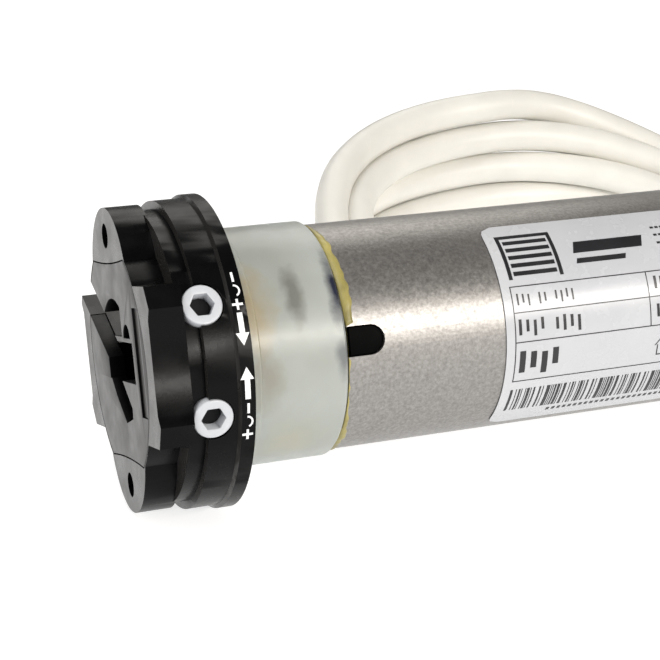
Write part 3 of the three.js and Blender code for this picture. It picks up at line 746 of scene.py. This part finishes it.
def motor_tube():
    mouth = [(TUBE_FROM, 21.5), (TUBE_FROM, 22.4), (TUBE_FROM + 0.1, 22.5)]
    shell = turned_solid(mouth + [(TUBE_TO, 22.5), (TUBE_TO, 21.5)], 144)
    notch = outward(prism(tongue(-2, 4.6, 2.9), 18, 26), NEAR, TUBE_FROM)
    holes = [outward(cylinder(1.7, 20, 26, 24), angle, TUBE_SCREW_STATION) for angle in TUBE_SCREWS]
    looks = (tube_material(), "tube_steel", "motor_body", ["motor_tube"])
    return carve("tube", [shell], [notch, *holes], 0.0, *looks)


motor_tube()
# The plug's black plastic, darkened to almost nothing and given little specular: partly its own black, partly
# painted shade for the deep slot its key sits in.
KEY_BLACK_AND_SLOT_SHADE = moulded("key_plastic", (0.001, 0.001, 0.001), 0.5, grain=0.02, IOR=1.2, Specular_IOR_Level=0.15)
SEALANT = moulded("sealant", (0.30, 0.26, 0.085), 0.35, grain=0.5, spread=0.6)


def core_plug():
    post = [(22.4, 4.6), (22.4, 6.4), (36, 6.4)]
    collar = [(36, 20.05), (39.1, 20.05), (39.1, 21.2), (52, 21.2), (52, 4.6)]
    body = turned_solid(post + collar, 72)
    key = outward(prism(tongue(0.6, 4.6, 2.6, 16), 20.6, 22), NEAR, TUBE_FROM)
    return carve("plug", [body, key], [], 0.15, KEY_BLACK_AND_SLOT_SHADE, "black_plastic", "motor_body", ["core_plug"])


core_plug()


def sealant():
    """An uneven bead of sealant pressed out between the ring and the tube's mouth."""
    steps, sides = 240, 8
    verts, faces = [], []
    for i in range(steps):
        angle = 2 * math.pi * i / steps
        lumps = noise.noise(Vector((3 * math.cos(angle), 3 * math.sin(angle), 0.4)))
        fine = noise.noise(Vector((14 * math.cos(angle), 14 * math.sin(angle), 2.0)))
        upper = max(0.0, math.cos(angle - NEAR + math.radians(34))) ** 6
        lower = max(0.0, math.cos(angle - NEAR - math.radians(75))) ** 8
        gap = abs((angle - NEAR + math.pi) % (2 * math.pi) - math.pi) < math.radians(9)
        width = 0.02 if gap else 0.45 + 1.7 * upper + 1.3 * lower + 0.6 * lumps + 0.45 * fine
        width = max(width, 0.02)
        height = 0.05 if gap else 0.24 + 0.16 * lumps + 0.14 * fine + 0.12 * upper
        for k in range(sides):
            turn = 2 * math.pi * k / sides
            station = 38.75 + width * (0.45 + 0.5 * math.cos(turn))
            verts.append(polar(station, 22.45 + max(height, 0.05) * math.sin(turn), angle))
    for i in range(steps):
        j = (i + 1) % steps
        for k in range(sides):
            m = (k + 1) % sides
            faces.append((i * sides + k, j * sides + k, j * sides + m, i * sides + m))
    return make_piece("sealant_bead", place(verts), faces, SEALANT, "yellow_plastic", "motor_body", smooth=80)


sealant()

# ---- Rating label -----------------------------------------------------------------------------------------
LABEL_FROM, LABEL_LENGTH, LABEL_R = 71.4, 84.0, 22.62
LABEL_TOP = math.radians(126)
LABEL_ARC = math.radians(120)
LABEL_HEIGHT = LABEL_ARC * LABEL_R


def on_label(along, down, lift=0.0):
    return polar(LABEL_FROM + along, LABEL_R + lift, LABEL_TOP + down / LABEL_R)


def label_sheet():
    """The film itself: a rectangle with rounded corners, wrapped round the tube."""
    columns, rows, corner, thick = 24, 48, 2.6, 0.14
    grid = []
    for k in range(rows + 1):
        down = LABEL_HEIGHT * k / rows
        inset = 0.0
        edge = min(down, LABEL_HEIGHT - down)
        if edge < corner:
            inset = corner - math.sqrt(max(corner**2 - (corner - edge) ** 2, 0))
        for i in range(columns + 1):
            along = inset + (LABEL_LENGTH - 2 * inset) * i / columns
            grid.append((along, down))
    verts = [on_label(a, d, thick) for a, d in grid] + [on_label(a, d, 0.02) for a, d in grid]
    width, total = columns + 1, len(grid)
    faces = []
    for k in range(rows):
        for i in range(columns):
            a, b, c, d = k * width + i, k * width + i + 1, (k + 1) * width + i + 1, (k + 1) * width + i
            faces += [(a, b, c, d), (total + d, total + c, total + b, total + a)]
    rim = [i for i in range(width)] + [k * width + columns for k in range(1, rows + 1)]
    rim += [rows * width + i for i in range(columns - 1, -1, -1)]
    rim += [k * width for k in range(rows - 1, 0, -1)]
    faces += [(a, total + a, total + b, b) for a, b in zip(rim, rim[1:] + rim[:1])]
    nodes = Nodes("label_film", (0.48, 0.49, 0.51), 0.3)
    nodes.vary_color(nodes.noise(30, 2), (0.45, 0.46, 0.485), (0.52, 0.53, 0.545))
    nodes.vary_roughness(nodes.noise(200, 3), 0.2, 0.32)
    nodes.bump(nodes.noise(500, 2), 0.03)
    looks = (nodes.material, "paper", "motor_body", ["rating_label"])
    return make_piece("label_film", place(verts), faces, *looks, smooth=40)


def printed(name, patches, material):
    """Flat patches of ink on the label: each is four corners (along, down), in order."""
    verts, faces = [], []
    for corners in patches:
        (a0, d0), (a1, d1), (a2, d2), (a3, d3) = corners
        steps = max(1, math.ceil(max(abs(d3 - d0), abs(d2 - d1)) / 1.2))
        base = len(verts)
        for lift in (0.17, 0.15):
            for k in range(steps + 1):
                t = k / steps
                verts.append(on_label(a0 + (a3 - a0) * t, d0 + (d3 - d0) * t, lift))
                verts.append(on_label(a1 + (a2 - a1) * t, d1 + (d2 - d1) * t, lift))
        below = base + 2 * (steps + 1)
        for k in range(steps):
            i, j = base + 2 * k, below + 2 * k
            faces += [(i, i + 1, i + 3, i + 2), (j + 2, j + 3, j + 1, j)]
            faces += [(i, i + 2, j + 2, j), (i + 1, j + 1, j + 3, i + 3)]
        last = base + 2 * steps
        foot = below + 2 * steps
        faces += [(base, below, below + 1, base + 1), (last, last + 1, foot + 1, foot)]
    return make_piece(name, place(verts), faces, material, "dark_plastic", "motor_body", smooth=None)


def bar(along, down, width, height, slant=0.0):
    top = [(along + slant, down), (along + width + slant, down)]
    return top + [(along + width, down + height), (along, down + height)]


def label_print():
    ink = moulded("label_ink", (0.012, 0.012, 0.014), 0.35)
    left, right = 1.8, 81.0
    rows = (14.5, 19.6, 25.4, 33.7)
    line = 0.22
    rules = [bar(left, d, right - left, line) for d in rows]
    rules += [bar(side, rows[0], line, rows[-1] - rows[0] + line) for side in (left, right)]
    rules += [bar(31.8, rows[0], line, rows[2] - rows[0])]
    rows_of_marks = []
    for start, down, height, stroke, widths in (
        (2.9, 16.0, 2.3, 0.26, (1, 1, 1, 0, 1, 1, 0, 1, 1, 1, 1)),
        (2.7, 21.0, 3.1, 0.42, (1, 1, 1, 1, 0, 1, 1, 1, 1)),
        (2.9, 27.3, 4.6, 0.85, (1, 1, 1, 1)),
        (33.4, 15.6, 2.6, 0.4, (1, 1, 0, 1, 1, 1)),
        (33.4, 21.2, 2.6, 0.4, (1, 1, 1, 0, 1, 1)),
        (48.0, 27.3, 4.0, 0.6, (1, 1, 1, 0, 1, 1)),
    ):
        step = height * 0.52
        for i, drawn in enumerate(widths):
            if drawn:
                top = down + (i % 3) * 0.06 * height
                rows_of_marks.append(bar(start + i * step, top, stroke * 1.5, height * (1 - 0.25 * (i % 2))))
    icon = []
    for k in range(5):
        icon.append(bar(3.4, 4.6 + 1.75 * k, 9.5, 0.9, 0.0))
    icon += [bar(2.2, 3.6, 0.8, 9.6), bar(13.3, 3.6, 0.8, 9.6), bar(2.2, 3.1, 11.9, 0.8)]
    icon += [bar(17.5, 6.4, 15.5, 2.6, 0.9), bar(17.5, 10.2, 11.0, 1.1, 0.4)]
    small = [bar(36.6 + 1.1 * i, 4.6 + 1.9 * k, 0.75, 0.5) for k in range(3) for i in range(14 - 3 * k)]
    house = [bar(33.6, 29.6, 0.25, 2.2), bar(36.0, 29.6, 0.25, 2.2), bar(33.6, 31.7, 2.65, 0.25)]
    ridge = [(34.9, 27.6), (35.2, 27.6)]
    house += [ridge + [(33.3, 29.7), (33.0, 29.7)], ridge + [(37.0, 29.7), (36.7, 29.7)]]
    code, along = [], 1.9
    pattern = (3, 1, 2, 1, 1, 3, 1, 2, 2, 1, 4, 1, 1, 2, 3, 1)
    i = 0
    while along < 58:
        width = 0.19 * pattern[i % len(pattern)]
        code.append(bar(along, 35.9, width, 6.2))
        along += width + 0.22 * pattern[(3 * i + 5) % len(pattern)]
        i += 1
    digits = [bar(12 + 1.25 * i, 43.2, 0.7, 1.0) for i in range(28)]
    printed("label_rules", rules, ink)
    printed("label_marks", rows_of_marks + house + small + digits, ink)
    printed("label_sign", icon, ink)
    printed("label_code", code, ink)


label_sheet()
label_print()


# ---- Marks beside the limit screws ------------------------------------------------------------------------
def rim_marks():
    paint = moulded("mark_paint", (0.85, 0.86, 0.88), 0.45, grain=0.05, spread=0.04)
    verts, faces = [], []

    def patch(points):
        base = len(verts)
        for lift in (0.05, -0.03):
            for station, elevation in points:
                angle = math.pi + ROLL - math.radians(elevation)
                verts.append(polar(station, 30.6 + lift, angle))
        count = len(points)
        faces.append(tuple(range(base, base + count)))
        faces.append(tuple(range(base + 2 * count - 1, base + count - 1, -1)))
        for i in range(count):
            j = (i + 1) % count
            faces.append((base + i, base + count + i, base + count + j, base + j))

    def stroke(s0, e0, s1, e1, half=0.22):
        """A straight painted line between two points (station, elevation), as wide as twice half, in mm."""
        per_degree = math.radians(1) * 30.6
        along = Vector((s1 - s0, (e1 - e0) * per_degree)).normalized()
        side = Vector((-along.y, along.x)) * half
        ds, de = side.x, side.y / per_degree
        patch([(s0 + ds, e0 + de), (s1 + ds, e1 + de), (s1 - ds, e1 - de), (s0 - ds, e0 - de)])

    def arrow(tail, tip):
        way = 1 if tip > tail else -1
        neck = tip - way * 4.2
        for i in range(3):
            step = (neck - tail) / 3
            low, high = tail + i * step, tail + (i + 1) * step
            patch([(15.85, low), (16.85, low), (16.85, high), (15.85, high)])
        patch([(15.1, neck), (17.6, neck), (16.35, tip)])

    for minus, curve, plus in ((44.1, 39.1, 34.2), (-1.3, -6.2, -11.1)):
        stroke(16.4, minus - 1.8, 16.4, minus + 1.8)
        stroke(15.3, plus, 17.3, plus)
        stroke(16.3, plus - 1.9, 16.3, plus + 1.9)
        angles = [math.radians(-70 + 23 * i) for i in range(8)]
        bow = [(16.2 + 0.95 * math.cos(a), curve + 1.9 * math.sin(a)) for a in angles]
        for (s0, e0), (s1, e1) in zip(bow, bow[1:]):
            stroke(s0, e0, s1, e1, 0.17)
    arrow(31.3, 20.2)
    arrow(2.0, 13.0)
    return make_piece("rim_marks", place(verts), faces, paint, "white_plastic", "motor_body", smooth=None)


rim_marks()

# ---- Output end, lead's ends ------------------------------------------------------------------------------
STEEL = metal("bright_steel", (0.58, 0.585, 0.59), 0.26, (30, 1, 1))
DARK_STEEL = metal("dark_steel", (0.2, 0.2, 0.21), 0.4)
CAP_PLUG = [(434.4, 6.3), (434.4, 21.1), (436.3, 21.1)]
CAP_FLANGE = [(436.3, 22.3), (436.5, 22.5), (439.4, 22.5), (439.85, 22.35), (440, 21.9), (440, 6.3)]
lathe("end_cap_moulding", CAP_PLUG + CAP_FLANGE, BLACK, "black_plastic", "motor_body", ["end_cap"])


def output_shaft():
    groove_for_ring = [(457.5, 6), (457.5, 5.2), (458.8, 5.2), (458.8, 6)]
    profile = [(381.3, 0), (381.3, 6)] + groove_for_ring + [(461.4, 6), (462, 5.4), (462, 0)]
    bar_solid = turned_solid(profile, 72)
    flats = [prism([(-8, lo), (8, lo), (8, hi), (-8, hi)], 443, 457) for lo, hi in ((5, 8), (-8, -5))]
    looks = (STEEL, "bright_steel", "gear_carrier_3", ["output_shaft"])
    return carve("drive_shaft", [bar_solid], flats, 0.12, *looks, segments=2, limit=30)


output_shaft()


def retaining_ring():
    outline = arc(0, 0, 7.4, 0.45, 2 * math.pi - 0.45, 48) + arc(0, 0, 5.5, 2 * math.pi - 0.45, 0.45, 48)
    looks = (DARK_STEEL, "dark_steel", "gear_carrier_3", ["circlip"])
    return carve("retaining_ring", [prism(outline, 457.7, 458.6)], [], 0.08, *looks)


retaining_ring()


def tube_screws():
    for number, angle in enumerate(TUBE_SCREWS, 1):
        shank = [(20, 0), (20, 1.4), (22.8, 1.4)]
        dome = [(22.8, 2.6), (23.1, 2.5), (23.45, 1.9), (23.6, 1.0), (23.6, 0)]
        screw = outward(turned_solid(shank + dome, 32), angle, TUBE_SCREW_STATION)
        cross = []
        for long, wide in ((1.5, 0.25), (0.25, 1.5)):
            blade = prism([(-long, -wide), (long, -wide), (long, wide), (-long, wide)], 23.1, 25)
            cross.append(outward(blade, angle, TUBE_SCREW_STATION))
        looks = (STEEL, "bright_steel", "motor_body", [f"tube_screw_{number}"])
        carve(f"tube_screw_{number}_head", [screw], cross, 0, *looks)


tube_screws()
RUBBER = moulded("black_rubber", (0.02, 0.02, 0.021), 0.55, grain=0.2)


def strain_relief():
    """A tapered rubber sleeve with grooves round it."""
    profile = [(25, 0.0), (25, 4.3), (30.9, 4.3), (30.9, 5.8), (34, 5.8)]
    station = 34.0
    while station < 50:
        radius = 5.8 - (station - 34) / 18
        profile += [(station + 0.2, radius), (station + 0.7, radius - 0.5)]
        profile += [(station + 1.3, radius - 0.5), (station + 1.8, radius - 0.1)]
        station += 2.4
    profile += [(51.7, 4.75), (52, 4.6), (52, 0.0)]
    solid = outward(turned_solid(profile, 48), 0, LEAD_STATION)
    looks = (RUBBER, "black_rubber", "motor_body", ["cable_strain_relief"])
    return carve("lead_sleeve", [solid], [], 0, *looks)


sleeve = strain_relief()


def core(name, color, across, height, spread, stripe=None):
    points = [
        on_rest(276.4, 49 + across, 4.6 + height),
        on_rest(284, 49.4 + across + 0.3 * spread, 3.8 + height * 0.8),
        on_rest(296, 50 + across + spread, 2.2 + height * 0.4),
        on_rest(308, 50.6 + across + 1.6 * spread, 1.6),
    ]
    material = pvc(f"{name}_pvc", color, 0.4, 0.12)
    obj = tube_curve(f"wire_{name}", points, 1.25 * MM, material, 3)
    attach(obj, "motor_body")
    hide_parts(f"core_{name}")
    return obj


WIRES = [
    core("brown", (0.16, 0.06, 0.025), -1.4, 1.4, -4),
    core("black", (0.015, 0.015, 0.016), 1.4, 1.4, 0),
    core("blue", (0.03, 0.12, 0.42), 1.4, -1.4, 4),
    core("earth", (0.30, 0.42, 0.04), -1.4, -1.4, -1),
]

# ---- Materials of the CAD pieces that stay ----------------------------------------------------------------
INNER = {
    "dark_plastic": moulded("dark_plastic", (0.03, 0.03, 0.034), 0.45),
    "white_plastic": WHITE_NYLON,
    "yellow_plastic": moulded("yellow_acetal", (0.62, 0.38, 0.06), 0.4, spread=0.1),
    "blue_plastic": moulded("blue_plastic", (0.02, 0.035, 0.10), 0.45),
    "bright_steel": STEEL,
    "dark_steel": DARK_STEEL,
    "sintered": metal("sintered_steel", (0.26, 0.25, 0.24), 0.5, grain=0.3),
    "aluminium": metal("cast_aluminium", (0.6, 0.61, 0.62), 0.4, grain=0.25),
    "copper": metal("copper_wire", (0.50, 0.19, 0.08), 0.35, (30, 1, 1), 0.6),
    "lining": moulded("friction_lining", (0.09, 0.065, 0.05), 0.8, grain=0.5, spread=0.5),
    "black_plastic": BLACK,
}
SLOTS = {entry["node"]: entry["material_slot"] for entry in frame["record"]["subparts"]}
for node, obj in frame["nodes"].items():
    material = INNER.get(SLOTS[node])
    if material:
        obj.data.materials.clear()
        obj.data.materials.append(material)
